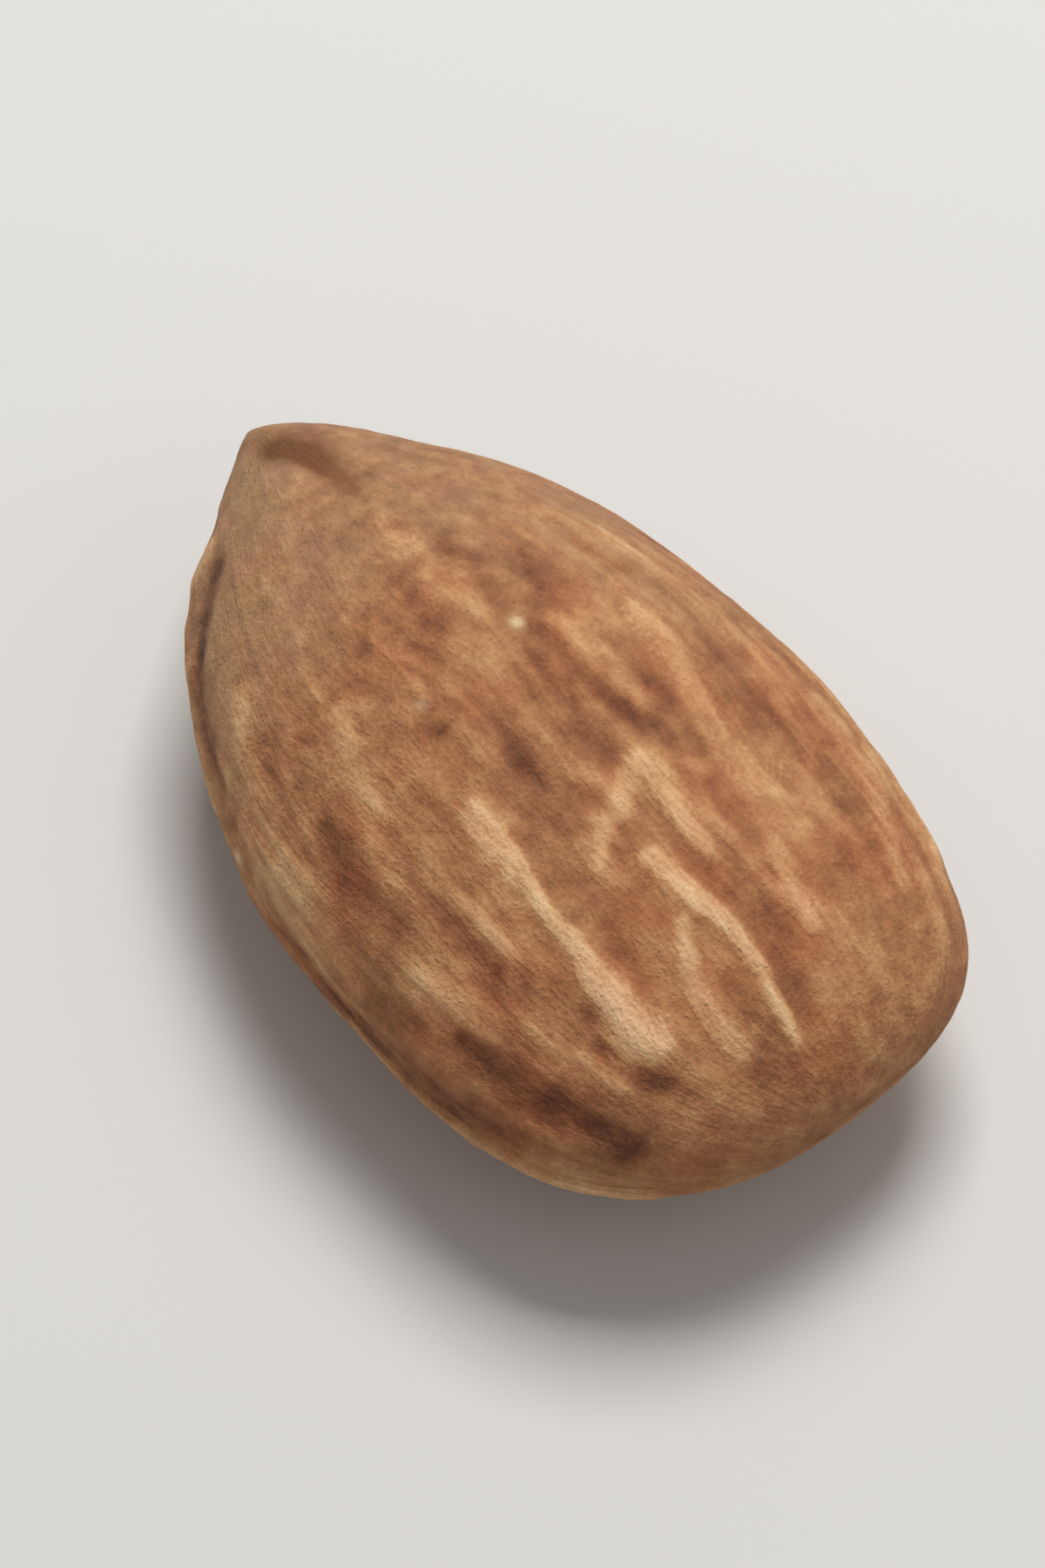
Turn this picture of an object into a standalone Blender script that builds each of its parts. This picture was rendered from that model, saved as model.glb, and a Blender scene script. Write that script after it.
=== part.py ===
# Raw almond: one shelled kernel in its wrinkled brown skin, lying on its broad side.
# Units are metres and +Z is up. The pointed tip looks along -X and the round end along +X.
# The origin is under the middle of the kernel, on the surface that it lies on.
#
# Places along the kernel run from 0 at the tip to 1 at the round end. A turn is an angle about
# the long axis: 0 on the +Y edge, 90 on the upper face, 180 on the -Y edge, 270 underneath.

import bisect
import math
import random
from collections import namedtuple

import bmesh
import bpy
from mathutils import Vector

MM = 0.001

# Overall size, over the ridges of the skin.
LENGTH = 25.0 * MM
WIDTH = 15.3 * MM
HEIGHT = 9.4 * MM

# How far the underside is pressed in at the flat spot that the kernel rests on.
FLAT_SPOT_DEPTH = 0.15 * MM

# Outline seen from above. A lower tip power makes a blunter tip, and a higher end power makes
# a squarer round end.
WIDEST_AT = 0.54
OUTLINE_TIP_POWER = 0.80
OUTLINE_END_POWER = 2.9
SEAM_SIDE_FULLNESS = 0.036

# Profile seen from the side.
THICKEST_AT = 0.49
PROFILE_TIP_POWER = 0.68
PROFILE_END_POWER = 2.2
EDGE_KEENNESS = 1.06

# The tip and the round end both lean a little towards the +Y edge.
TIP_LEAN = 0.62 * MM
TIP_LEAN_REACH = 0.16
END_LEAN = 0.40 * MM
END_LEAN_REACH = 0.15

# Broad unevenness of the whole kernel: waves along it, waves round it, phase and height.
Swell = namedtuple("Swell", "waves_along waves_round phase height")
SWELLS = (
    Swell(1.6, 2, 0.4, 0.07 * MM),
    Swell(2.3, 3, 2.1, 0.06 * MM),
    Swell(3.4, 1, 4.0, 0.05 * MM),
)

# A vein is a low ridge of the skin: where it starts and ends along the kernel, its turn in
# degrees at both, how many degrees it bows sideways between them, and its height.
Vein = namedtuple("Vein", "start end turn_start turn_end bow height")
VEIN_WIDTH = 0.90 * MM
VEIN_FADE = 0.08

# The furrow beside a vein, as a share of the vein's height and of its width.
FURROW_SHARE = 0.55
FURROW_SPREAD = 2.1

# The veins of the upper face, from the +Y edge to the -Y edge.
FACE_VEINS = (
    Vein(0.34, 0.74, 24, 26, 3, 0.15 * MM),
    Vein(0.52, 0.90, 42, 48, -3, 0.18 * MM),
    Vein(0.44, 0.68, 60, 56, 2, 0.19 * MM),
    Vein(0.64, 0.82, 68, 64, 0, 0.19 * MM),
    Vein(0.40, 0.62, 77, 74, 0, 0.20 * MM),
    Vein(0.74, 0.90, 70, 77, 0, 0.20 * MM),
    Vein(0.60, 0.80, 82, 83, 0, 0.22 * MM),
    Vein(0.19, 0.44, 85, 88, 0, 0.14 * MM),
    Vein(0.67, 0.94, 94, 102, -8, 0.27 * MM),
    Vein(0.76, 0.96, 94, 114, 3, 0.26 * MM),
    Vein(0.54, 0.91, 111, 126, -1, 0.32 * MM),
    Vein(0.38, 0.72, 124, 131, 5, 0.18 * MM),
    Vein(0.56, 0.90, 148, 138, -4, 0.21 * MM),
    Vein(0.30, 0.58, 146, 154, 0, 0.15 * MM),
    Vein(0.62, 0.92, 160, 158, 2, 0.18 * MM),
)

# The veins of both edges and of the underside are spread evenly, then shifted by seeded draws.
OTHER_VEIN_COUNT = 17
OTHER_VEINS_FROM = 172
OTHER_VEINS_TO = 372
OTHER_VEIN_SEED = 4

# The seam from the tip along the -Y edge to the round end. Beside the tip it is a raised lip.
SEAM_TURN_AT_TIP = 166
SEAM_TURN_AT_END = 186
SEAM_WIDTH = 0.9 * MM
SEAM_HEIGHT = 0.14 * MM
LIP_START = 0.06
LIP_END = 0.23
LIP_HEIGHT = 0.22 * MM

# The shallow crease that runs back from the tip over the upper face.
CREASE_AT = 0.125
CREASE_TURN = 80
CREASE_REACH = 1.7 * MM
CREASE_WIDTH = 0.9 * MM
CREASE_DEPTH = 0.22 * MM

# Number of faces across one quarter turn of the skin, and along the sides between both caps.
QUARTER_FACES = 32
SIDE_FACES = 23

# Skin colour as linear red, green and blue.
SKIN_COLOUR = (0.35, 0.18, 0.09, 1.0)
SKIN_ROUGHNESS = 0.72


def clear_scene():
    for obj in list(bpy.data.objects):
        bpy.data.objects.remove(obj, do_unlink=True)


def smooth_step(low, high, value):
    share = min(max((value - low) / (high - low), 0.0), 1.0)
    return share * share * (3.0 - 2.0 * share)


def taper(along, peak, tip_power, end_power):
    """Share of the full half size at a place along: 0 at both ends and 1 at the peak."""
    if along <= peak:
        return math.sin(math.pi / 2 * (along / peak) ** tip_power)
    inward = (1.0 - along) / (1.0 - peak)
    return (1.0 - (1.0 - inward) ** end_power) ** (1.0 / end_power)


def half_sizes(along):
    """Half width and half thickness of the kernel at a place along it."""
    half_width = WIDTH / 2 * taper(along, WIDEST_AT, OUTLINE_TIP_POWER, OUTLINE_END_POWER)
    half_height = HEIGHT / 2 * taper(along, THICKEST_AT, PROFILE_TIP_POWER, PROFILE_END_POWER)
    return half_width, half_height


def lean(along):
    """How far the middle of the outline lies towards the +Y edge."""
    tip = TIP_LEAN * (1.0 - smooth_step(0.0, TIP_LEAN_REACH, along))
    end = END_LEAN * smooth_step(1.0 - END_LEAN_REACH, 1.0, along)
    return tip + end


def smooth_point(along, turn):
    """A point of the smooth form under the wrinkles, measured from the middle of the kernel."""
    half_width, half_height = half_sizes(along)
    fullness = 1.0 - SEAM_SIDE_FULLNESS * math.cos(turn) * math.sin(math.pi * along)
    rise = math.sin(turn)
    return Vector((
        LENGTH * (along - 0.5),
        lean(along) + half_width * fullness * math.cos(turn),
        half_height * math.copysign(abs(rise) ** EDGE_KEENNESS, rise),
    ))


def even_places(steps=400):
    """A function from 0..1 to places along the kernel, at even distances over its skin."""
    places = [step / steps for step in range(steps + 1)]
    travelled = [0.0]
    for near, far in zip(places, places[1:]):
        across = sum(half_sizes(far)) / 2 - sum(half_sizes(near)) / 2
        travelled.append(travelled[-1] + math.hypot(LENGTH * (far - near), across))

    def place(share):
        wanted = share * travelled[-1]
        index = min(max(bisect.bisect_left(travelled, wanted), 1), steps)
        before, after = travelled[index - 1], travelled[index]
        return (index - 1 + (wanted - before) / (after - before)) / steps

    return place


def skin_distance(along, turn, from_turn):
    """Distance over the skin, round the kernel, between two turns at the same place along."""
    half_width, half_height = half_sizes(along)
    reach = math.hypot(half_width * math.sin(turn), half_height * math.cos(turn))
    return math.remainder(turn - from_turn, 2 * math.pi) * reach


def other_veins():
    """Veins of the edges and the underside."""
    draw = random.Random(OTHER_VEIN_SEED)
    spacing = (OTHER_VEINS_TO - OTHER_VEINS_FROM) / OTHER_VEIN_COUNT
    veins = []
    for index in range(OTHER_VEIN_COUNT):
        turn = OTHER_VEINS_FROM + spacing * (index + draw.uniform(0.3, 0.7))
        start = draw.uniform(0.22, 0.46)
        veins.append(Vein(
            start=start,
            end=start + draw.uniform(0.34, 0.50),
            turn_start=turn,
            turn_end=turn + draw.uniform(-5.0, 5.0),
            bow=draw.uniform(-4.0, 4.0),
            height=draw.uniform(0.14, 0.26) * MM,
        ))
    return veins


def vein_height(vein, along, turn):
    """A rounded ridge with a shallower furrow on each side, fading out at both ends."""
    if not vein.start < along < vein.end:
        return 0.0
    share = (along - vein.start) / (vein.end - vein.start)
    middle = vein.turn_start + (vein.turn_end - vein.turn_start) * share
    middle += vein.bow * math.sin(math.pi * share)
    away = skin_distance(along, turn, math.radians(middle)) / (VEIN_WIDTH / 2)
    fade = smooth_step(vein.start, vein.start + VEIN_FADE, along)
    fade *= 1.0 - smooth_step(vein.end - VEIN_FADE, vein.end, along)
    ridge = math.exp(-away * away)
    furrow = FURROW_SHARE * math.exp(-(away / FURROW_SPREAD) ** 2)
    return vein.height * fade * (ridge - furrow)


def seam_height(along, turn):
    """The seam along the -Y edge, which begins as a lip beside the tip."""
    middle = SEAM_TURN_AT_TIP + (SEAM_TURN_AT_END - SEAM_TURN_AT_TIP) * smooth_step(0.0, 0.5, along)
    away = skin_distance(along, turn, math.radians(middle)) / (SEAM_WIDTH / 2)
    lip = LIP_HEIGHT * math.sin(math.pi * smooth_step(LIP_START, LIP_END, along))
    seam = SEAM_HEIGHT * smooth_step(LIP_START, LIP_END, along)
    seam *= 1.0 - smooth_step(0.80, 0.96, along)
    return (lip + seam) * math.exp(-away * away)


def crease_depth(along, turn):
    """The crease behind the tip, longer along the kernel than round it."""
    lengthwise = LENGTH * (along - CREASE_AT) / CREASE_REACH
    sideways = skin_distance(along, turn, math.radians(CREASE_TURN)) / (CREASE_WIDTH / 2)
    return CREASE_DEPTH * math.exp(-lengthwise * lengthwise - sideways * sideways)


def swell_height(along, turn):
    """Broad low unevenness, which dies out towards both ends."""
    total = 0.0
    for swell in SWELLS:
        lengthwise = math.sin(2 * math.pi * swell.waves_along * along + swell.phase)
        total += swell.height * lengthwise * math.cos(swell.waves_round * turn + swell.phase)
    return total * math.sin(math.pi * along)


def resting_share(along, turn):
    """1 in the middle of the underside, where the kernel rests, and 0 away from it."""
    lengthwise = (along - THICKEST_AT) / 0.24
    sideways = math.remainder(turn - math.radians(270), 2 * math.pi) / math.radians(48)
    return math.exp(-(lengthwise * lengthwise + sideways * sideways) ** 2)


def relief(along, turn, veins):
    """Height of the wrinkled skin over the smooth form."""
    uneven = swell_height(along, turn) + sum(vein_height(vein, along, turn) for vein in veins)
    uneven *= 1.0 - resting_share(along, turn)
    return uneven + seam_height(along, turn) - crease_depth(along, turn)


def ball_bmesh():
    """A ball of even four-sided faces: a cube cut into a grid and blown round."""
    ball = bmesh.new()
    bmesh.ops.create_cube(ball, size=2.0)
    lengthwise = [edge for edge in ball.edges if abs(edge.verts[0].co.x - edge.verts[1].co.x) > 1.0]
    bmesh.ops.subdivide_edges(ball, edges=lengthwise, cuts=SIDE_FACES - 1, use_grid_fill=True)
    across = [edge for edge in ball.edges if abs(edge.verts[0].co.x - edge.verts[1].co.x) < 1e-6]
    bmesh.ops.subdivide_edges(ball, edges=across, cuts=QUARTER_FACES - 1, use_grid_fill=True)
    for vert in ball.verts:
        even_angles = Vector(math.tan(math.pi / 4 * value) for value in vert.co)
        vert.co = even_angles.normalized()
    return ball


def kernel_bmesh():
    """The ball drawn out into the kernel, then wrinkled along its normals."""
    kernel = ball_bmesh()
    veins = list(FACE_VEINS) + other_veins()
    even_place = even_places()
    places = {}
    for vert in kernel.verts:
        from_tip = math.acos(min(max(-vert.co.x, -1.0), 1.0)) / math.pi
        places[vert] = (even_place(from_tip), math.atan2(vert.co.z, vert.co.y))
    for vert, place in places.items():
        vert.co = smooth_point(*place)
    bmesh.ops.recalc_face_normals(kernel, faces=kernel.faces)
    kernel.normal_update()
    raised = {vert: vert.co + vert.normal * relief(*place, veins) for vert, place in places.items()}
    for vert, point in raised.items():
        vert.co = point
    return kernel


def flatten_resting_spot(kernel):
    """Lifts the lowest skin to one level, so that the kernel lies on a small flat spot."""
    level = min(vert.co.z for vert in kernel.verts) + FLAT_SPOT_DEPTH
    for vert in kernel.verts:
        vert.co.z = max(vert.co.z, level)


def fit_to_size(kernel):
    """Stretches the kernel to its overall size, and sets it down over the origin."""
    low = Vector(min(vert.co[axis] for vert in kernel.verts) for axis in range(3))
    high = Vector(max(vert.co[axis] for vert in kernel.verts) for axis in range(3))
    size = high - low
    under_middle = Vector(((low.x + high.x) / 2, (low.y + high.y) / 2, low.z))
    for vert in kernel.verts:
        moved = vert.co - under_middle
        vert.co = Vector((
            moved.x * LENGTH / size.x,
            moved.y * WIDTH / size.y,
            moved.z * HEIGHT / size.z,
        ))


def skin_material():
    material = bpy.data.materials.new("brown_skin")
    material.use_nodes = True
    shader = material.node_tree.nodes["Principled BSDF"]
    shader.inputs["Base Color"].default_value = SKIN_COLOUR
    shader.inputs["Roughness"].default_value = SKIN_ROUGHNESS
    shader.inputs["Metallic"].default_value = 0.0
    return material


def make_kernel():
    kernel = kernel_bmesh()
    flatten_resting_spot(kernel)
    fit_to_size(kernel)
    mesh = bpy.data.meshes.new("kernel")
    kernel.to_mesh(mesh)
    kernel.free()
    mesh.shade_smooth()
    mesh.materials.append(skin_material())
    obj = bpy.data.objects.new("kernel", mesh)
    bpy.context.scene.collection.objects.link(obj)
    return obj


clear_scene()
make_kernel()
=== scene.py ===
import math
import random

import bmesh
import bpy
import numpy as np
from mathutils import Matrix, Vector, noise


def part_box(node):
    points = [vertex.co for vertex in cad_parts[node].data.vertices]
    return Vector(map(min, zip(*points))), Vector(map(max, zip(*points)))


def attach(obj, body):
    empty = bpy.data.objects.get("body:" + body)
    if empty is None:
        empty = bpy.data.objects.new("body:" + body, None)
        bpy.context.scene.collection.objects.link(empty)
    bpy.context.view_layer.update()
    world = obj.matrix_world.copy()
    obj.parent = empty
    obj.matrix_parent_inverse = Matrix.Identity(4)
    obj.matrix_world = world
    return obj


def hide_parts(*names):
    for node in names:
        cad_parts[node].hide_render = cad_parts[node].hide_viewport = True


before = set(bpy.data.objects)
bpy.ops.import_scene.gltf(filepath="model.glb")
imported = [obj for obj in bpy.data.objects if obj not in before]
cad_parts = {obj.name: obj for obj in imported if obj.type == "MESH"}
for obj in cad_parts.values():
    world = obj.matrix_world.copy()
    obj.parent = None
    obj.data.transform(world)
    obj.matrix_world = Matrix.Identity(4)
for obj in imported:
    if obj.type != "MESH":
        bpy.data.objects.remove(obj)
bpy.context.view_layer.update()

mm = 0.001

# The kernel lies on its broad side, with its tip towards -X and its round end towards +X.
# A place along it runs from 0 at the tip to 1 at the round end. A turn is an angle in degrees
# about the long axis: 0 on the +Y edge, 90 on the upper face, 180 on the -Y edge.

kernelForm = {
    "widestAt": 0.54,
    "outlineTipPower": 0.80,  # lower is blunter
    "outlineEndPower": 2.9,  # higher is squarer
    "seamSideFullness": 0.036,
    "thickestAt": 0.49,
    "profileTipPower": 0.68,
    "profileEndPower": 2.2,
    "edgeKeenness": 1.06,
    "tipLean": 0.62 * mm,
    "tipLeanReach": 0.16,
    "endLean": 0.40 * mm,
    "endLeanReach": 0.15,
    # waves along, waves round, phase, height
    "swells": ((1.6, 2, 0.4, 0.07 * mm), (2.3, 3, 2.1, 0.06 * mm), (3.4, 1, 4.0, 0.05 * mm)),
    "flatSpotDepth": 0.15 * mm,
    "calmLength": 0.24,  # over this share of the length round the flat spot the relief dies away,
    "calmTurn": 48,  # and over this turn,
    "calmShare": 0.9,  # by this share
    "quarterFaces": 140,
    "sideFaces": 104,
}

kernelLow, kernelHigh = (np.array(corner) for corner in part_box("kernel"))
kernelLength, kernelWidth, kernelHeight = kernelHigh - kernelLow


def smoothStep(low, high, value):
    share = np.clip((value - low) / (high - low), 0.0, 1.0)
    return share * share * (3.0 - 2.0 * share)


def taper(along, peak, tipPower, endPower):
    towardsTip = np.sin(np.pi / 2 * np.clip(along / peak, 0.0, 1.0) ** tipPower)
    inward = np.clip((1.0 - along) / (1.0 - peak), 0.0, 1.0)
    towardsEnd = (1.0 - (1.0 - inward) ** endPower) ** (1.0 / endPower)
    return np.where(along <= peak, towardsTip, towardsEnd)


def halfSizes(along):
    form = kernelForm
    outline = taper(along, form["widestAt"], form["outlineTipPower"], form["outlineEndPower"])
    profile = taper(along, form["thickestAt"], form["profileTipPower"], form["profileEndPower"])
    return kernelWidth / 2 * outline, kernelHeight / 2 * profile


def smoothPoints(along, turn):
    form = kernelForm
    halfWidth, halfHeight = halfSizes(along)
    lean = form["tipLean"] * (1.0 - smoothStep(0.0, form["tipLeanReach"], along))
    lean = lean + form["endLean"] * smoothStep(1.0 - form["endLeanReach"], 1.0, along)
    fullness = 1.0 - form["seamSideFullness"] * np.cos(turn) * np.sin(np.pi * along)
    rise = np.sin(turn)
    return np.column_stack((
        kernelLength * (along - 0.5),
        lean + halfWidth * fullness * np.cos(turn),
        halfHeight * np.sign(rise) * np.abs(rise) ** form["edgeKeenness"],
    ))


def evenPlaces(shares, steps=2000):  # places along the kernel at even distances over its skin
    places = np.linspace(0.0, 1.0, steps + 1)
    across = sum(halfSizes(places)) / 2
    stretch = np.hypot(kernelLength / steps, np.diff(across))
    travelled = np.concatenate(([0.0], np.cumsum(stretch)))
    return np.interp(shares * travelled[-1], travelled, places)


def runAlong(edge):  # how far an edge of the cube runs towards its round end
    return abs(edge.verts[0].co.x - edge.verts[1].co.x)


def makeBall():  # a cube cut into a grid and blown round, so that the faces stay even
    ball = bmesh.new()
    bmesh.ops.create_cube(ball, size=2.0)
    lengthwise = [edge for edge in ball.edges if runAlong(edge) > 1.0]
    bmesh.ops.subdivide_edges(
        ball, edges=lengthwise, cuts=kernelForm["sideFaces"] - 1, use_grid_fill=True
    )
    crosswise = [edge for edge in ball.edges if runAlong(edge) < 1e-6]
    bmesh.ops.subdivide_edges(
        ball, edges=crosswise, cuts=kernelForm["quarterFaces"] - 1, use_grid_fill=True
    )
    mesh = bpy.data.meshes.new("kernelSkin")
    ball.to_mesh(mesh)
    ball.free()
    points = np.empty(len(mesh.vertices) * 3)
    mesh.vertices.foreach_get("co", points)
    points = np.tan(np.pi / 4 * points.reshape(-1, 3))
    points /= np.linalg.norm(points, axis=1)[:, None]
    return mesh, points


kernelMesh, ballPoints = makeBall()
fromTip = np.arccos(np.clip(-ballPoints[:, 0], -1.0, 1.0)) / np.pi
along = evenPlaces(fromTip)
turn = np.arctan2(ballPoints[:, 2], ballPoints[:, 1])
halfWidth, halfHeight = halfSizes(along)
roundReach = np.hypot(halfWidth * np.sin(turn), halfHeight * np.cos(turn))
smooth = smoothPoints(along, turn)
relief = np.zeros(len(along))  # height over the smooth form, in millimetres
print("kernel form:", len(along), "points")


def noiseAt(points, roundSize, lengthSize, octaves, offset):
    scaled = points / (roundSize, roundSize, lengthSize) + offset
    # each octave is half as large and half as strong as the one before
    return np.array([noise.fractal(Vector(point), 1.0, 2.0, octaves) for point in scaled])


def turnFrom(degrees):  # the turn from a line at this angle, the short way round
    return np.remainder(turn - np.radians(degrees) + np.pi, 2 * np.pi) - np.pi


def offFrom(place, degrees):  # how far the skin lies along and round from a spot, in millimetres
    return (along - place) * kernelLength / mm, turnFrom(degrees) * roundReach / mm


# Each stroke is a strength, a height in millimetres, and then its points from the tip's side to
# the round end's side: place along, turn, width in millimetres. Pale strokes are the raised
# veins, and dark ones the furrows and stains between them; the two broad dark bands towards
# the -Y edge are partly painted shade on that flank.
strokes = {
    "pale": (
        # the long vein and its broad end
        (1.20, 0.10, (0.54, 114, 0.40), (0.565, 114, 0.70), (0.61, 115, 0.80),
         (0.653, 115, 0.62), (0.703, 116.3, 0.52), (0.747, 116.5, 0.62), (0.795, 118.5, 0.90),
         (0.84, 121, 1.00), (0.88, 122, 0.60)),
        (1.45, 0.05, (0.785, 118, 0.60), (0.82, 120.2, 1.20), (0.848, 121, 1.75),
         (0.885, 122, 0.90)),
        # the hook
        (0.80, 0.07, (0.705, 105, 0.40), (0.673, 99.5, 0.55), (0.655, 93.5, 0.65),
         (0.64, 88.5, 0.70), (0.628, 82.5, 0.90), (0.645, 82, 0.70), (0.677, 82.7, 0.58),
         (0.713, 83.7, 0.60), (0.765, 83, 0.45)),
        # the forked vein and its branch
        (1.20, 0.09, (0.697, 94.6, 0.60), (0.724, 93.3, 0.85), (0.76, 92, 0.70),
         (0.792, 91, 0.62), (0.832, 89.7, 0.52), (0.870, 90.5, 0.44), (0.912, 93.3, 0.38),
         (0.955, 98, 0.32)),
        (0.90, 0.07, (0.768, 95, 0.40), (0.803, 99.5, 0.50), (0.842, 103.7, 0.72),
         (0.873, 105, 0.68), (0.905, 108, 0.62), (0.938, 112.5, 0.50)),
        # towards the +Y edge
        (0.74, 0.06, (0.755, 71.5, 0.50), (0.81, 72.7, 0.62), (0.845, 73, 0.62), (0.88, 74, 0.55)),
        (0.50, 0.06, (0.43, 76, 0.55), (0.49, 75.5, 0.80), (0.527, 74.5, 0.90), (0.59, 73.7, 0.60)),
        (0.58, 0.07, (0.46, 60, 0.65), (0.54, 59.5, 0.90), (0.587, 62, 0.80), (0.643, 65.3, 0.76),
         (0.687, 65.3, 0.95), (0.75, 62.5, 0.70)),
        (0.25, 0.03, (0.30, 58, 0.90), (0.363, 48, 1.10), (0.428, 42, 1.10), (0.505, 40, 1.00),
         (0.60, 36, 0.80)),
        (0.55, 0.05, (0.63, 31, 0.80), (0.74, 32.3, 1.10), (0.815, 39, 0.80), (0.88, 43, 0.80)),
        # behind the tip
        (0.44, 0.03, (0.215, 85.5, 0.65), (0.29, 86.2, 0.85), (0.353, 86.3, 0.85),
         (0.415, 86.7, 0.55)),
        # towards the -Y edge
        (0.50, 0.05, (0.36, 120, 0.70), (0.458, 128, 0.90), (0.528, 135.5, 0.80),
         (0.61, 137, 0.55), (0.70, 136.5, 0.45)),
        (0.55, 0.06, (0.54, 126.5, 0.50), (0.605, 127.7, 0.58), (0.66, 127.7, 0.52),
         (0.72, 129, 0.50)),
        (0.52, 0.06, (0.53, 151.5, 0.70), (0.61, 147.5, 0.75), (0.697, 142.2, 0.75),
         (0.79, 137.7, 0.80), (0.885, 133, 0.65)),
        (0.50, 0.04, (0.26, 142, 0.80), (0.338, 152, 0.85), (0.412, 157.7, 0.80),
         (0.50, 159.5, 0.75)),
        (0.30, 0.05, (0.56, 96, 0.50), (0.60, 94, 0.70), (0.635, 92, 0.50)),
        # the lip, and the edge behind it
        (1.10, 0.16, (0.098, 141, 0.45), (0.107, 153.7, 0.75), (0.110, 168, 0.85),
         (0.135, 176, 0.60)),
        (0.70, 0.06, (0.13, 176, 0.35), (0.19, 178.3, 0.42), (0.25, 180, 0.42), (0.34, 181, 0.35)),
        (0.28, 0.04, (0.55, 20, 0.60), (0.66, 15, 0.80), (0.80, 16, 0.60)),
    ),
    "dark": (
        # before the hook and beside it
        (0.72, 0.04, (0.42, 79.5, 0.50), (0.467, 79.3, 0.70), (0.51, 79, 0.75), (0.55, 78.3, 0.65),
         (0.585, 77, 0.80), (0.618, 74.5, 0.70), (0.66, 73.5, 0.50)),
        (0.62, 0.03, (0.515, 101.5, 0.80), (0.56, 101, 1.15), (0.607, 101, 1.15),
         (0.665, 102, 0.75)),
        (0.38, 0.03, (0.53, 69.2, 0.55), (0.58, 69.7, 0.75), (0.632, 70, 0.75), (0.672, 71.5, 0.50)),
        # dark bands towards the -Y edge: partly furrows, partly painted shade darkening that lower
        # flank
        (0.80, 0.06, (0.44, 140.5, 0.50), (0.50, 143.8, 0.85), (0.542, 146.3, 1.40),
         (0.585, 148, 1.50), (0.64, 149.7, 0.90)),
        (0.85, 0.06, (0.70, 151, 0.80), (0.803, 150.7, 1.15), (0.865, 148, 1.20),
         (0.935, 156, 0.80)),
        # between the veins
        (0.22, 0.03, (0.65, 86, 0.50), (0.672, 87.3, 0.62), (0.70, 90, 0.50)),
        (0.62, 0.04, (0.665, 73, 0.50), (0.70, 75, 0.60), (0.742, 75, 0.55), (0.775, 74.7, 0.50)),
        (0.18, 0.04, (0.64, 104, 0.80), (0.71, 107.7, 0.71), (0.762, 109.7, 0.85),
         (0.83, 110.3, 0.60)),
        (0.28, 0.04, (0.80, 78.5, 0.50), (0.843, 80.3, 0.65), (0.883, 82.3, 0.65),
         (0.92, 85.7, 0.55)),
        (0.85, 0.05, (0.805, 127.7, 0.70), (0.853, 128.5, 0.75), (0.885, 127.8, 0.65),
         (0.915, 125.3, 0.55)),
        # behind the tip
        (0.52, 0.01, (0.275, 92.5, 0.60), (0.31, 94, 0.85), (0.355, 94.9, 0.80),
         (0.41, 94.3, 0.60)),
        (0.60, 0.01, (0.445, 111.5, 0.60), (0.470, 109, 0.60), (0.478, 103.5, 0.60)),
        # below the long vein and past its end
        (0.54, 0.04, (0.585, 132.3, 0.55), (0.635, 132.7, 0.62), (0.672, 132.7, 0.62),
         (0.72, 132.7, 0.55)),
        (0.55, 0.04, (0.84, 96, 0.45), (0.875, 99, 0.55), (0.91, 101, 0.40)),
        (0.35, 0.03, (0.62, 50, 0.60), (0.70, 48, 0.80), (0.80, 50, 0.60)),
        # inside the lip, and behind it
        (1.15, 0.08, (0.120, 137, 0.50), (0.140, 144.3, 0.80), (0.158, 151.3, 0.90),
         (0.185, 160, 0.80), (0.215, 166, 0.55)),
        (0.75, 0.05, (0.18, 166, 0.50), (0.24, 168, 0.85), (0.31, 170, 0.75), (0.38, 171, 0.50)),
        (0.50, 0.02, (0.275, 79.5, 0.60), (0.328, 80.3, 0.85), (0.375, 80.7, 0.75),
         (0.42, 80, 0.50)),
    ),
    # the same kinds of line, drawn at random over the sides turned away from the camera, and
    # then faint thin ones all round: each pair is a lowest and a highest value
    "hiddenPale": {
        "seed": 4, "count": 18, "turns": (168, 378), "starts": (0.26, 0.60),
        "lengths": (0.22, 0.48), "widths": (0.45, 0.95), "strengths": (0.30, 0.95),
        "heights": (0.05, 0.12),
    },
    "hiddenDark": {
        "seed": 5, "count": 18, "turns": (168, 378), "starts": (0.34, 0.66),
        "lengths": (0.12, 0.30), "widths": (0.50, 1.10), "strengths": (0.30, 0.65),
        "heights": (0.03, 0.08),
    },
    "thinPale": {
        "seed": 11, "count": 60, "turns": (0, 360), "starts": (0.26, 0.86),
        "lengths": (0.06, 0.20), "widths": (0.22, 0.45), "strengths": (0.12, 0.34),
        "heights": (0.01, 0.04),
    },
    "thinDark": {
        "seed": 12, "count": 60, "turns": (0, 360), "starts": (0.26, 0.86),
        "lengths": (0.06, 0.18), "widths": (0.22, 0.45), "strengths": (0.12, 0.34),
        "heights": (0.01, 0.03),
    },
    "stray": 0.13,  # how far the edges of a stroke wander, in millimetres
    "straySize": 1.1,
    "strayOffsets": (61.0, 67.0),
    "leastReach": 0.5 * mm,  # near the kernel's two ends, where the way round is short
    "patchiness": 0.40,
    "patchSize": 1.6,
    "patchOffset": 73.0,
    "patchLimits": (0.2, 1.4),
    "patchyBelow": 1.3,  # a stroke near this strength is the least patchy,
    "leastPatchy": 0.25,  # down to this share
    "edgePower": 1.5,  # a higher power gives a flatter top and a firmer edge,
    "strengthPower": 1.2,  # to which a stroke's strength adds at most this
    "fade": 0.55,  # length in millimetres over which a stroke dies away at its ends
    "relief": 1.35,  # share of the heights above that shows
    "ridgeWidth": 1.25,  # in half widths of the stroke
    "hollowWidth": 2.6,  # a shallow hollow runs along both sides of a ridge,
    "hollowDepth": 0.45,  # as a share of the ridge's height
    "searchReach": 0.08,  # skin farther along than this from a stroke is left alone
}

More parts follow.
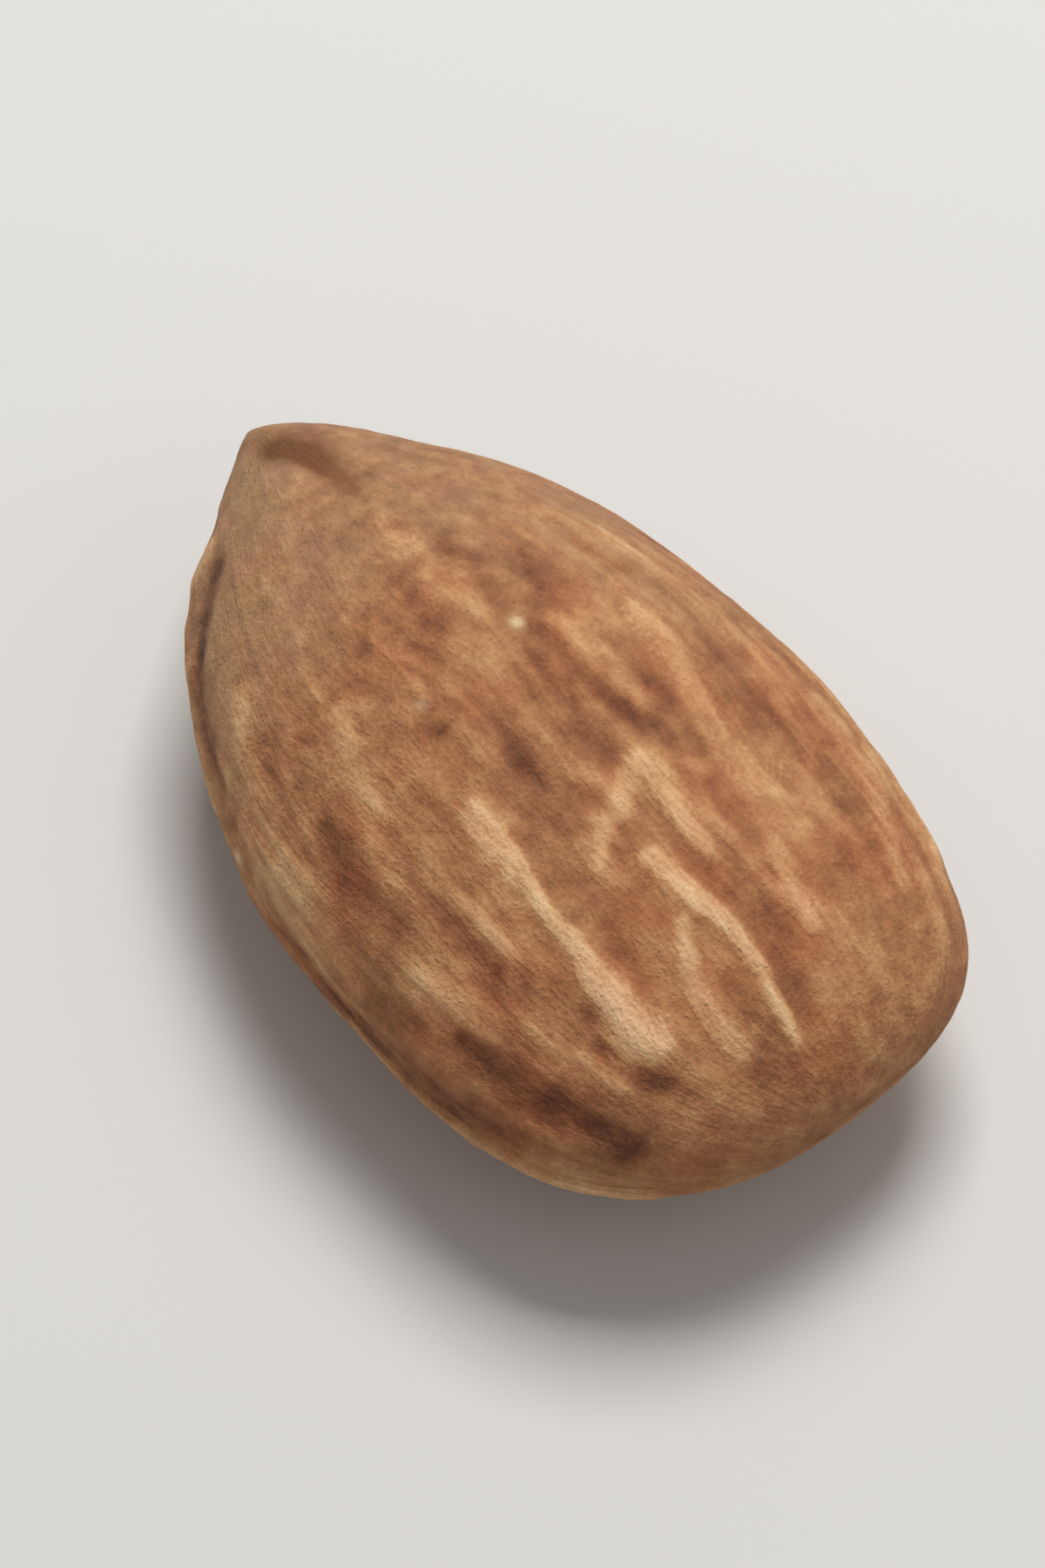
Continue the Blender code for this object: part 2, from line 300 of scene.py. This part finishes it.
# how a random stroke bends, in degrees of turn, and how it grows and branches
randomStroke = {
    "spacing": (0.2, 0.8),  # where in its share of the way round its middle falls
    "latestEnd": 0.955,
    "bow": 4.0,
    "sway": 6.0,
    "wobble": 1.2,
    "pointShares": (0.0, 0.28, 0.55, 0.8, 1.0),
    "startWidth": 0.6,
    "middleWidth": 0.5,
    "endWidth": 0.25,
    "branchChance": 0.3,
    "branchFromWidth": 0.5,  # a thinner stroke has no branch
    "branchStrength": 0.8,
    "branchHeight": 0.7,
    # from where it leaves: place along, turn, share of the stroke's width
    "branchPoints": ((0.02, 7, 0.6), (0.08, 10, 0.5)),
}


def randomStrokes(kind):
    form = randomStroke
    draw = random.Random(kind["seed"])
    turnLow, turnHigh = kind["turns"]
    made = []
    for index in range(kind["count"]):
        step = index + draw.uniform(*form["spacing"])
        middle = turnLow + (turnHigh - turnLow) * step / kind["count"]
        start = draw.uniform(*kind["starts"])
        end = min(start + draw.uniform(*kind["lengths"]), form["latestEnd"])
        bow = draw.uniform(-form["bow"], form["bow"])
        sway = draw.uniform(-form["sway"], form["sway"])
        width = draw.uniform(*kind["widths"])
        points = []
        for share in form["pointShares"]:
            swell = math.sin(math.pi * share)
            wobble = draw.uniform(-form["wobble"], form["wobble"])
            widths = form["startWidth"] + form["middleWidth"] * swell + form["endWidth"] * share
            points.append((
                start + (end - start) * share,
                middle + sway * share + bow * swell + wobble,
                width * widths,
            ))
        strength, height = draw.uniform(*kind["strengths"]), draw.uniform(*kind["heights"])
        made.append((strength, height, *points))
        if draw.random() < form["branchChance"] and width > form["branchFromWidth"]:
            leave = points[draw.choice((1, 2))]
            side = draw.choice((-1, 1))
            branch = [leave]
            for onwards, away, share in form["branchPoints"]:
                branch.append((leave[0] + onwards, leave[1] + away * side, width * share))
            made.append((strength * form["branchStrength"], height * form["branchHeight"], *branch))
    return made


def drawnPath(points, legs=4):  # a smooth curve through the points of a stroke
    ends = [points[0]] + list(points) + [points[-1]]
    path = [np.array(points[0], float)]
    for before, first, second, after in zip(ends, ends[1:], ends[2:], ends[3:]):
        p0, p1, p2, p3 = (np.array(point, float) for point in (before, first, second, after))
        for leg in range(1, legs + 1):
            t = leg / legs
            path.append(0.5 * (
                2 * p1 + (p2 - p0) * t + (2 * p0 - 5 * p1 + 4 * p2 - p3) * t**2
                + (3 * p1 - p0 - 3 * p2 + p3) * t**3
            ))
    return path


def distanceToStroke(path, alongHere, turnHere, reachHere):
    # distance over the skin in millimetres to a stroke, its width at the nearest point, and how
    # far that point lies from the stroke's nearer end
    nearest = np.full(len(alongHere), np.inf)
    widthThere = np.ones(len(alongHere))
    travelled = np.zeros(len(alongHere))
    gone = 0.0
    for (alongA, turnA, widthA), (alongB, turnB, widthB) in zip(path, path[1:]):
        legX = (alongB - alongA) * kernelLength / mm
        legY = math.radians(turnB - turnA) * reachHere / mm
        offX = (alongHere - alongA) * kernelLength / mm
        offY = np.remainder(turnHere - math.radians(turnA) + np.pi, 2 * np.pi) - np.pi
        offY = offY * reachHere / mm
        legLength = np.sqrt(legX**2 + legY**2 + 1e-9)
        share = np.clip((offX * legX + offY * legY) / legLength**2, 0.0, 1.0)
        distance = np.hypot(offX - share * legX, offY - share * legY)
        closer = distance < nearest
        nearest[closer] = distance[closer]
        widthThere[closer] = (widthA + (widthB - widthA) * share)[closer]
        travelled[closer] = (gone + share * legLength)[closer]
        gone += float(legLength.mean())
    return nearest, widthThere, np.minimum(travelled, gone - travelled)


def blotchAt(size, offset):  # soft blotches of one size, in millimetres, over the whole skin
    return noiseAt(smooth / mm, size, size, 2, offset)


strayAlong, strayRound = (
    strokes["stray"] * blotchAt(strokes["straySize"], offset) for offset in strokes["strayOffsets"]
)
alongStrayed = along + strayAlong * mm / kernelLength
turnStrayed = turn + strayRound * mm / np.maximum(roundReach, strokes["leastReach"])
patchiness = strokes["patchiness"] * blotchAt(strokes["patchSize"], strokes["patchOffset"])
patchiness = np.clip(1.0 + patchiness, *strokes["patchLimits"])

# a core is the shape of the strokes, 1 in their middle, and a strength how strongly they show
paleCore, paleStrength = np.zeros(len(along)), np.zeros(len(along))
darkCore, darkStrength = np.zeros(len(along)), np.zeros(len(along))


def layCore(coreField, strengthField, near, core, strength):
    stronger = strength * core > strengthField[near] * coreField[near]
    coreField[near] = np.where(stronger, core, coreField[near])
    strengthField[near] = np.where(stronger, strength, strengthField[near])


def layStrokes(kind, coreField, strengthField, direction):
    form = strokes
    for strength, height, *points in kind:
        places = [point[0] for point in points]
        near = along > min(places) - form["searchReach"]
        near &= along < max(places) + form["searchReach"]
        distance, width, fromEnd = distanceToStroke(
            drawnPath(points), alongStrayed[near], turnStrayed[near], roundReach[near]
        )
        across = distance / (width / 2)
        rise = smoothStep(0.0, form["fade"], fromEnd)
        patchy = min(max(form["patchyBelow"] - strength, form["leastPatchy"]), 1.0)
        firmness = form["edgePower"] + min(strength, form["strengthPower"])
        core = np.exp(-(across**firmness)) * rise * (1.0 + (patchiness[near] - 1.0) * patchy)
        layCore(coreField, strengthField, near, core, strength)
        ridge = np.exp(-((across / form["ridgeWidth"]) ** 2))
        ridge -= form["hollowDepth"] * np.exp(-((across / form["hollowWidth"]) ** 2))
        relief[near] += direction * form["relief"] * height * rise * ridge


pale, dark = list(strokes["pale"]), list(strokes["dark"])
pale += randomStrokes(strokes["hiddenPale"]) + randomStrokes(strokes["thinPale"])
dark += randomStrokes(strokes["hiddenDark"]) + randomStrokes(strokes["thinDark"])
layStrokes(pale, paleCore, paleStrength, 1.0)
layStrokes(dark, darkCore, darkStrength, -1.0)
print("strokes laid:", len(pale), "pale and", len(dark), "dark")

# widths and heights in millimetres
seam = {
    "turnAtTip": 172,
    "turnAtEnd": 185,
    "settledAt": 0.5,  # the place along where the seam has reached its turn at the round end
    "width": 0.9,
    "height": 0.14,
    "fadeFrom": 0.80,
    "fadeTo": 0.96,
    "lipStart": 0.06,
    "lipEnd": 0.23,
    "lipHeight": 0.10,
    "lipNarrowness": 1.5,
    "lipPaleness": 0.5,
}
settled = smoothStep(0.0, seam["settledAt"], along)
seamTurn = seam["turnAtTip"] + (seam["turnAtEnd"] - seam["turnAtTip"]) * settled
seamOff = turnFrom(seamTurn) * roundReach / mm / (seam["width"] / 2)
behindLip = smoothStep(seam["lipStart"], seam["lipEnd"], along)
lipRise = np.sin(np.pi * behindLip)
seamRise = behindLip * (1.0 - smoothStep(seam["fadeFrom"], seam["fadeTo"], along))
relief += (seam["lipHeight"] * lipRise + seam["height"] * seamRise) * np.exp(-(seamOff**2))
lipCore = lipRise * np.exp(-((seamOff * seam["lipNarrowness"]) ** 2))
layCore(paleCore, paleStrength, slice(None), lipCore, seam["lipPaleness"])

tipMark = {
    "depth": 0.12,
    "flatness": 1.35,  # above 1 the middle of the mark is evenly dark
    "points": ((0.048, 99, 0.8), (0.055, 94, 1.1), (0.068, 86, 1.3), (0.092, 80, 1.15),
               (0.130, 79, 0.75), (0.172, 82.7, 0.5), (0.200, 83.5, 0.3)),
    "endLength": 0.6,  # over this length it pales towards its two ends, in millimetres,
    "endShare": 0.6,  # to this share
    "thinning": (0.10, 0.20, 0.5),  # from and to this place along it fades by this share
}
distance, width, fromEnd = distanceToStroke(
    drawnPath(tipMark["points"]), alongStrayed, turnStrayed, roundReach
)
fromItsEnd = smoothStep(0.0, tipMark["endLength"], fromEnd)
markShare = np.exp(-((distance / (width / 2)) ** 2))
markShare *= tipMark["endShare"] + (1.0 - tipMark["endShare"]) * fromItsEnd
markShare = np.minimum(tipMark["flatness"] * markShare, 1.0)
thinFrom, thinTo, thinBy = tipMark["thinning"]
markShare *= 1.0 - thinBy * smoothStep(thinFrom, thinTo, along)
relief -= tipMark["depth"] * markShare

specks = {
    "size": 0.38,  # width of a pale speck, in millimetres
    "height": 0.04,
    "edgePower": 2.5,
    "placed": ((0.430, 82.5, 1.0), (0.438, 108, 0.40)),  # place along, turn, strength
    "others": 9,
    "othersRanges": ((0.1, 0.9), (165, 375), (0.4, 1.0)),
    "seed": 23,
}
draw = random.Random(specks["seed"])
speckSpots = list(specks["placed"])
for index in range(specks["others"]):
    speckSpots.append([draw.uniform(*limits) for limits in specks["othersRanges"]])
speckShare = np.zeros(len(along))
for place, degrees, strength in speckSpots:
    away = np.hypot(*offFrom(place, degrees)) / (specks["size"] / 2)
    speckShare = np.maximum(speckShare, strength * np.exp(-(away ** specks["edgePower"])))
relief += specks["height"] * speckShare

tanPatches = {
    "tipReach": (0.42, 0.05),  # the skin turns from brown to tan between these places along
    # place along, turn, reach in millimetres, strength
    "placed": (
        (0.24, 52, 3.2, 0.75), (0.36, 44, 2.6, 0.60), (0.50, 40, 2.2, 0.35),
        (0.30, 158, 2.4, 0.35), (0.22, 118, 3.6, 0.45),
    ),
}
tanShare = smoothStep(*tanPatches["tipReach"], along)
for place, degrees, reach, strength in tanPatches["placed"]:
    offAlong, offRound = offFrom(place, degrees)
    patch = strength * np.exp(-(offAlong**2 + offRound**2) / reach**2)
    tanShare = 1.0 - (1.0 - tanShare) * (1.0 - patch)
print("seam, tip mark, specks and tan laid")

wrinkles = {
    "flowRadius": 5.5,  # the stripes' own space is a rod of this size, in millimetres
    "flowLength": 25.0,
    "bend": 0.8,  # how far the stripes stray sideways, in millimetres
    "bendSize": (3.0, 6.0),
    "bendOffsets": (41.0, 43.0),
    "leastDrawIn": 0.02,
    "fibreDrawIn": 0.35,  # how far the finest fibres narrow with the kernel
    "stripesFrom": (0.12, 0.50),  # the stripes rise between these places along,
    "stripesUntil": (0.86, 0.99),  # and sink again between these,
    "stripesLost": 0.85,  # by this share
    "veiled": 0.5,  # share of the tone that a vein hides
    # size round and along and height in millimetres, strength of the tone, and the share that
    # shows outside the stripes and within them
    "fine": {
        "size": (0.60, 3.6), "height": 0.030, "tone": 0.42, "share": (0.3, 1.0),
        "octaves": 3, "offset": 0.0,
    },
    "coarse": {
        "size": (1.5, 7.0), "height": 0.050, "tone": 0.40, "share": (0.25, 1.0),
        "octaves": 2, "offset": 17.0,
    },
    "mottle": {
        "size": (0.55, 0.65), "height": 0.018, "tone": 0.42, "share": (1.0, 0.65),
        "octaves": 3, "offset": 5.0,
    },
    "patch": {
        "size": (3.0, 4.0), "height": 0.0, "tone": 0.30, "share": (1.0, 1.0),
        "octaves": 2, "offset": 9.0,
    },
}

flow = np.column_stack((
    np.cos(turn) * wrinkles["flowRadius"],
    np.sin(turn) * wrinkles["flowRadius"],
    along * wrinkles["flowLength"],
))
bends = [
    wrinkles["bend"] * noiseAt(flow, *wrinkles["bendSize"], 1, offset)
    for offset in wrinkles["bendOffsets"]
]


def bentFlow(narrowing):
    return np.column_stack((
        flow[:, 0] * narrowing + bends[0], flow[:, 1] * narrowing + bends[1], flow[:, 2]
    ))


# the stripes run lengthwise and draw together at both ends, but less than the skin does, so
# that they fade there and don't pinch to a point
drawIn = np.sqrt(np.maximum(halfWidth / halfWidth.max(), wrinkles["leastDrawIn"]))
stripePlace = bentFlow(drawIn)
fibrePlace = bentFlow(drawIn ** wrinkles["fibreDrawIn"])
stripeShare = smoothStep(*wrinkles["stripesFrom"], along)
stripeShare *= 1.0 - wrinkles["stripesLost"] * smoothStep(*wrinkles["stripesUntil"], along)
wrinkleTone = np.zeros(len(along))
for name, points in (
    ("fine", stripePlace), ("coarse", stripePlace), ("mottle", smooth / mm), ("patch", smooth / mm)
):
    kind = wrinkles[name]
    outside, within = kind["share"]
    field = noiseAt(points, *kind["size"], kind["octaves"], kind["offset"])
    field *= outside + (within - outside) * stripeShare
    relief += kind["height"] * field
    wrinkleTone += kind["tone"] * field
wrinkleTone *= 1.0 - wrinkles["veiled"] * np.minimum(paleCore * paleStrength, 1.0)
print("wrinkles laid, tone spread", round(float(wrinkleTone.std()), 3))

swellRise = np.zeros(len(along))
for wavesAlong, wavesRound, phase, height in kernelForm["swells"]:
    swell = np.sin(2 * np.pi * wavesAlong * along + phase) * np.cos(wavesRound * turn + phase)
    swellRise += height / mm * swell
relief += swellRise * np.sin(np.pi * along)

underneath = 270
calmAlong = (along - kernelForm["thickestAt"]) / kernelForm["calmLength"]
calmRound = turnFrom(underneath) / math.radians(kernelForm["calmTurn"])
relief *= 1.0 - kernelForm["calmShare"] * np.exp(-((calmAlong**2 + calmRound**2) ** 2))

# the skin is raised, the resting spot pressed flat, and the whole fitted to the solid's box
kernelMesh.vertices.foreach_set("co", smooth.ravel())
kernelMesh.update()
normals = np.empty(len(along) * 3)
kernelMesh.vertex_normals.foreach_get("vector", normals)
normals = normals.reshape(-1, 3)
if (normals * smooth).sum() < 0:
    kernelMesh.flip_normals()
    normals = -normals
raised = smooth + normals * relief[:, None] * mm
restLevel = raised[:, 2].min() + kernelForm["flatSpotDepth"]
raised[:, 2] = np.maximum(raised[:, 2], restLevel)
low, high = raised.min(axis=0), raised.max(axis=0)
raised = kernelLow + (raised - low) * (kernelHigh - kernelLow) / (high - low)
kernelMesh.vertices.foreach_set("co", raised.ravel())
for name, values in (
    ("wrinkleTone", wrinkleTone),
    ("paleCore", paleCore),
    ("paleStrength", paleStrength),
    ("darkCore", darkCore),
    ("darkStrength", darkStrength),
    ("tipMark", markShare),
    ("speck", speckShare),
    ("alongShare", along),
    ("tan", tanShare),
    ("flowAcross", fibrePlace[:, 0]),
    ("flowOver", fibrePlace[:, 1]),
    ("flowLength", fibrePlace[:, 2]),
):
    layer = kernelMesh.attributes.new(name, "FLOAT", "POINT")
    layer.data.foreach_set("value", values.astype(np.float32))
kernelMesh.shade_smooth()
kernelMesh.update()
kernelSkin = bpy.data.objects.new("kernelSkin", kernelMesh)
bpy.context.scene.collection.objects.link(kernelSkin)
print("kernel skin:", len(kernelMesh.polygons), "faces")


def linear(red, green, blue):  # a colour picked on screen, 0 to 255, as Blender's nodes want it
    parts = [value / 255 for value in (red, green, blue)]
    curved = [p / 12.92 if p <= 0.04045 else ((p + 0.055) / 1.055) ** 2.4 for p in parts]
    return (*curved, 1.0)


skinFinish = {
    # skin colour by tone, from -1.5 in the darkest furrows to 1.5 on the palest veins
    "ramp": (
        (-1.5, linear(86, 50, 33)),
        (-1.0, linear(110, 66, 43)),
        (-0.5, linear(142, 91, 59)),
        (0.0, linear(170, 116, 76)),
        (0.5, linear(193, 144, 98)),
        (1.0, linear(214, 170, 124)),
        (1.5, linear(230, 194, 149)),
    ),
    # noise: scale, detail, roughness, distortion
    "streaks": (4.2, 4, 0.68, 0.3),  # fine lengthwise fibres
    "streakLength": 0.11,  # the lower, the longer
    "blotches": (1900, 3, 0.6, 0.0),  # about half a millimetre wide
    "grain": (7500, 2, 0.6, 0.0),
    "warmth": (420, 3, 0.55, 0.0),
    "pinkness": (800, 2, 0.5, 0.0),
    # how strongly each shows in the tone, and how it changes along: from and to these places,
    # from and to these shares
    "streakTone": 0.90,
    "streakRise": (0.14, 0.5, 0.35, 1.0),
    "blotchTone": 0.75,
    "blotchRise": (0.55, 0.10, 1.0, 2.7),
    "grainTone": 0.95,
    "fibreFray": 2.0,  # how far the fibres fray the edges of a stroke
    "grainFray": 0.8,
    "frayRise": (0.0, 0.4),  # where the stroke's core runs between these
    "fibreInStroke": 0.9,  # how strongly the fibres show within a stroke
    "crispEdge": (0.12, 0.85),  # the frayed core at the outer and the inner side of a crisp edge
    "paleCrispness": 0.32,  # 0 keeps a stroke's soft edge, 1 the crisp one
    "darkCrispness": 0.22,
    "redShift": linear(250, 226, 222),
    "redAmount": 0.65,
    "redFrom": (0.42, 0.66),  # where the warmth runs between these
    "redOffTan": 0.8,  # it leaves the tan by this share
    "markColour": linear(112, 68, 36),
    "markAmount": 0.95,
    "tanColour": linear(160, 125, 89),
    "tanPink": linear(162, 122, 93),
    "pinkFrom": (0.44, 0.60),  # where the pinkness runs between these
    "tanTexture": 0.26,  # how much of the skin's pattern shows through the tan
    "tanAmount": 0.85,
    "tanOffStrokes": 0.85,  # the veins and furrows keep their own colour by this share
    "tanRise": (0.62, 0.40, 0.60, 1.0),  # from and to these warmths, from and to these shares
    "dust": linear(205, 174, 142),
    "dustAmount": 0.09,
    "fleckScale": 5200,
    "fleckEdge": (0.26, 0.08),  # distance from a fleck's middle, where it starts and where full
    "speckColour": linear(226, 198, 154),
    "speckAmount": 0.85,
    "roughness": (0.3, 0.7, 0.66, 0.88),  # where the grain runs between the first two
    # depth, strength
    "streakBump": (0.08 * mm, 0.8),
    "blotchBump": (0.06 * mm, 0.5),
    "grainBump": (0.06 * mm, 0.9),
    "fleckBump": (0.03 * mm, 0.5),
    "sheenWeight": 0.08,
    "sheenRoughness": 0.5,
    "sheenTint": linear(235, 205, 175),
    "specular": 0.22,
}

skin = bpy.data.materials.new("almondSkin")
skin.use_nodes = True
tree = skin.node_tree
shader = tree.nodes["Principled BSDF"]


def connect(value, socket):
    if isinstance(value, bpy.types.NodeSocket):
        tree.links.new(value, socket)
    else:
        socket.default_value = value


def attribute(name):
    node = tree.nodes.new("ShaderNodeAttribute")
    node.attribute_name = name
    return node.outputs["Fac"]


def compute(operation, first, second, third=0.0):
    node = tree.nodes.new("ShaderNodeMath")
    node.operation = operation
    for value, socket in zip((first, second, third), node.inputs):
        connect(value, socket)
    return node.outputs[0]


def plus(first, second):
    return compute("ADD", first, second)


def times(first, second):
    return compute("MULTIPLY", first, second)


def allBut(value, share):  # 1, less this share of the value
    return compute("SUBTRACT", 1.0, times(value, share))


def aroundZero(texture, amount):
    return compute("MULTIPLY_ADD", texture, amount, -amount / 2)


def mixColour(amount, first, second, blend="MIX"):
    node = tree.nodes.new("ShaderNodeMix")
    node.data_type = "RGBA"
    node.blend_type = blend
    connect(amount, node.inputs["Factor"])
    connect(first, node.inputs[6])  # the first two colour sockets
    connect(second, node.inputs[7])
    return node.outputs[2]


def span(value, low, high, toLow=0.0, toHigh=1.0):
    node = tree.nodes.new("ShaderNodeMapRange")
    node.interpolation_type = "SMOOTHSTEP"
    connect(value, node.inputs["Value"])
    node.inputs["From Min"].default_value = low
    node.inputs["From Max"].default_value = high
    node.inputs["To Min"].default_value = toLow
    node.inputs["To Max"].default_value = toHigh
    return node.outputs["Result"]


def noiseTexture(vector, scale, detail, roughness, distortion):
    node = tree.nodes.new("ShaderNodeTexNoise")
    connect(vector, node.inputs["Vector"])
    node.inputs["Scale"].default_value = scale
    node.inputs["Detail"].default_value = detail
    node.inputs["Roughness"].default_value = roughness
    node.inputs["Distortion"].default_value = distortion
    return node.outputs["Fac"]


def cells(vector, scale):
    node = tree.nodes.new("ShaderNodeTexVoronoi")
    connect(vector, node.inputs["Vector"])
    node.inputs["Scale"].default_value = scale
    return node.outputs["Distance"]


def bump(height, distance, strength, normal=None):
    node = tree.nodes.new("ShaderNodeBump")
    connect(height, node.inputs["Height"])
    node.inputs["Distance"].default_value = distance
    node.inputs["Strength"].default_value = strength
    if normal is not None:
        connect(normal, node.inputs["Normal"])
    return node.outputs["Normal"]


place = tree.nodes.new("ShaderNodeTexCoord").outputs["Object"]
flowJoin = tree.nodes.new("ShaderNodeCombineXYZ")
connect(attribute("flowAcross"), flowJoin.inputs[0])
connect(attribute("flowOver"), flowJoin.inputs[1])
connect(times(attribute("flowLength"), skinFinish["streakLength"]), flowJoin.inputs[2])
alongShare = attribute("alongShare")

streaks = noiseTexture(flowJoin.outputs[0], *skinFinish["streaks"])
blotches = noiseTexture(place, *skinFinish["blotches"])
grain = noiseTexture(place, *skinFinish["grain"])
warmth = noiseTexture(place, *skinFinish["warmth"])
pinkness = noiseTexture(place, *skinFinish["pinkness"])
flecks = span(cells(place, skinFinish["fleckScale"]), *skinFinish["fleckEdge"])

frayByFibres = aroundZero(streaks, skinFinish["fibreFray"])
fray = plus(frayByFibres, aroundZero(grain, skinFinish["grainFray"]))
fibreAmount = skinFinish["fibreInStroke"]
fibres = compute("MULTIPLY_ADD", streaks, fibreAmount, 1.0 - fibreAmount / 2)


def strokeTone(core, strength, crispness):  # a stroke with frayed edges and fibres in it
    frayed = plus(core, times(fray, span(core, *skinFinish["frayRise"])))
    sharper = compute("SUBTRACT", span(frayed, *skinFinish["crispEdge"]), core)
    shape = compute("MULTIPLY_ADD", sharper, crispness, core)
    return times(times(shape, fibres), strength)


# the tone: dark below zero, pale above it
# the dark strokes are furrows and stains, and along the -Y edge also painted shade
veins, furrowsAndShade = attribute("paleCore"), attribute("darkCore")
streakTone = aroundZero(streaks, skinFinish["streakTone"])
tone = plus(attribute("wrinkleTone"), times(streakTone, span(alongShare, *skinFinish["streakRise"])))
veinTone = strokeTone(veins, attribute("paleStrength"), skinFinish["paleCrispness"])
furrowAndShadeTone = strokeTone(furrowsAndShade, attribute("darkStrength"), skinFinish["darkCrispness"])
tone = compute("SUBTRACT", plus(tone, veinTone), furrowAndShadeTone)
blotchTone = aroundZero(blotches, skinFinish["blotchTone"])
tone = plus(tone, times(blotchTone, span(alongShare, *skinFinish["blotchRise"])))
tone = plus(tone, aroundZero(grain, skinFinish["grainTone"]))

# the colour of that tone
ramp = tree.nodes.new("ShaderNodeValToRGB")
stops = ramp.color_ramp.elements
lowest, highest = skinFinish["ramp"][0][0], skinFinish["ramp"][-1][0]
toneSpan = highest - lowest
for level, shade in skinFinish["ramp"]:
    if level == lowest:
        stop = stops[0]
    elif level == highest:
        stop = stops[-1]
    else:
        stop = stops.new((level - lowest) / toneSpan)
    stop.color = shade
connect(compute("MULTIPLY_ADD", tone, 1.0 / toneSpan, -lowest / toneSpan), ramp.inputs["Fac"])
colour = ramp.outputs["Color"]

# redder patches, the tan of the tip, its dark mark, dust and pale specks
tanHere = attribute("tan")
redness = span(warmth, *skinFinish["redFrom"], 0.0, skinFinish["redAmount"])
redness = times(redness, allBut(tanHere, skinFinish["redOffTan"]))
colour = mixColour(redness, colour, skinFinish["redShift"], "MULTIPLY")
tanned = mixColour(
    span(pinkness, *skinFinish["pinkFrom"]), skinFinish["tanColour"], skinFinish["tanPink"]
)
pattern = compute("MULTIPLY_ADD", tone, skinFinish["tanTexture"], 1.0)
tanned = mixColour(1.0, tanned, pattern, "MULTIPLY")
bare = allBut(compute("MAXIMUM", veins, furrowsAndShade), skinFinish["tanOffStrokes"])
tanAmount = times(times(tanHere, span(warmth, *skinFinish["tanRise"])), bare)
colour = mixColour(times(tanAmount, skinFinish["tanAmount"]), colour, tanned)
markAmount = times(attribute("tipMark"), skinFinish["markAmount"])
colour = mixColour(markAmount, colour, skinFinish["markColour"])
colour = mixColour(times(flecks, skinFinish["dustAmount"]), colour, skinFinish["dust"])
speckAmount = times(attribute("speck"), skinFinish["speckAmount"])
colour = mixColour(speckAmount, colour, skinFinish["speckColour"])
connect(colour, shader.inputs["Base Color"])

connect(span(grain, *skinFinish["roughness"]), shader.inputs["Roughness"])
surface = bump(streaks, *skinFinish["streakBump"])
surface = bump(blotches, *skinFinish["blotchBump"], surface)
surface = bump(grain, *skinFinish["grainBump"], surface)
surface = bump(flecks, *skinFinish["fleckBump"], surface)
connect(surface, shader.inputs["Normal"])
shader.inputs["Specular IOR Level"].default_value = skinFinish["specular"]
shader.inputs["Sheen Weight"].default_value = skinFinish["sheenWeight"]
shader.inputs["Sheen Roughness"].default_value = skinFinish["sheenRoughness"]
shader.inputs["Sheen Tint"].default_value = skinFinish["sheenTint"]
kernelMesh.materials.append(skin)

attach(kernelSkin, "root")
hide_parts("kernel")
print("skin finished")

studio = {
    "floorColour": linear(217, 215, 211),
    "floorRoughness": 0.9,
    "floorSize": 3.0,
    "worldColour": (1.0, 1.0, 1.0, 1.0),
    "worldStrength": 0.29,
    "keyPower": 1.10,
    "keySize": 0.16,
    "keyPlace": (-0.104, 0.133, 0.311),
    "fillPower": 0.06,
    "fillSize": 0.25,
    "fillPlace": (0.20, 0.11, 0.20),
}

floorMesh = bpy.data.meshes.new("floor")
half = studio["floorSize"] / 2
corners = [(-half, -half, 0.0), (half, -half, 0.0), (half, half, 0.0), (-half, half, 0.0)]
floorMesh.from_pydata(corners, [], [(0, 1, 2, 3)])
floor = bpy.data.objects.new("floor", floorMesh)
bpy.context.scene.collection.objects.link(floor)
paper = bpy.data.materials.new("palePaper")
paper.use_nodes = True
paperShader = paper.node_tree.nodes["Principled BSDF"]
paperShader.inputs["Base Color"].default_value = studio["floorColour"]
paperShader.inputs["Roughness"].default_value = studio["floorRoughness"]
floorMesh.materials.append(paper)

world = bpy.data.worlds.new("softRoom")
bpy.context.scene.world = world
world.use_nodes = True
background = world.node_tree.nodes["Background"]
background.inputs["Color"].default_value = studio["worldColour"]
background.inputs["Strength"].default_value = studio["worldStrength"]


def softLight(name, place, power, size):
    lamp = bpy.data.lights.new(name, "AREA")
    lamp.energy = power
    lamp.size = size
    holder = bpy.data.objects.new(name, lamp)
    holder.location = place
    holder.rotation_mode = "QUATERNION"
    holder.rotation_quaternion = (-Vector(place)).to_track_quat("-Z", "Y")
    bpy.context.scene.collection.objects.link(holder)


softLight("keyLight", studio["keyPlace"], studio["keyPower"], studio["keySize"])
softLight("fillLight", studio["fillPlace"], studio["fillPower"], studio["fillSize"])

view = {
    "azimuth": 51.0,
    "elevation": 63.0,
    "distance": 0.235,
    "aim": (0.0, 0.0, 0.0045),
    "lens": 210.0,
    "sensorWidth": 36.0,
    "clipStart": 0.01,
}
swing, lift = math.radians(view["azimuth"]), math.radians(view["elevation"])
back = Vector((
    math.sin(swing) * math.cos(lift), -math.cos(swing) * math.cos(lift), math.sin(lift)
))
cameraData = bpy.data.cameras.new("camera")
cameraData.lens = view["lens"]
cameraData.sensor_width = view["sensorWidth"]
cameraData.clip_start = view["clipStart"]
camera = bpy.data.objects.new("camera", cameraData)
camera.location = Vector(view["aim"]) + back * view["distance"]
camera.rotation_mode = "QUATERNION"
camera.rotation_quaternion = (-back).to_track_quat("-Z", "Y")
bpy.context.scene.collection.objects.link(camera)
bpy.context.scene.camera = camera
bpy.context.scene.view_settings.view_transform = "Standard"
bpy.context.scene.view_settings.look = "None"
print("studio set")

bpy.context.view_layer.update()
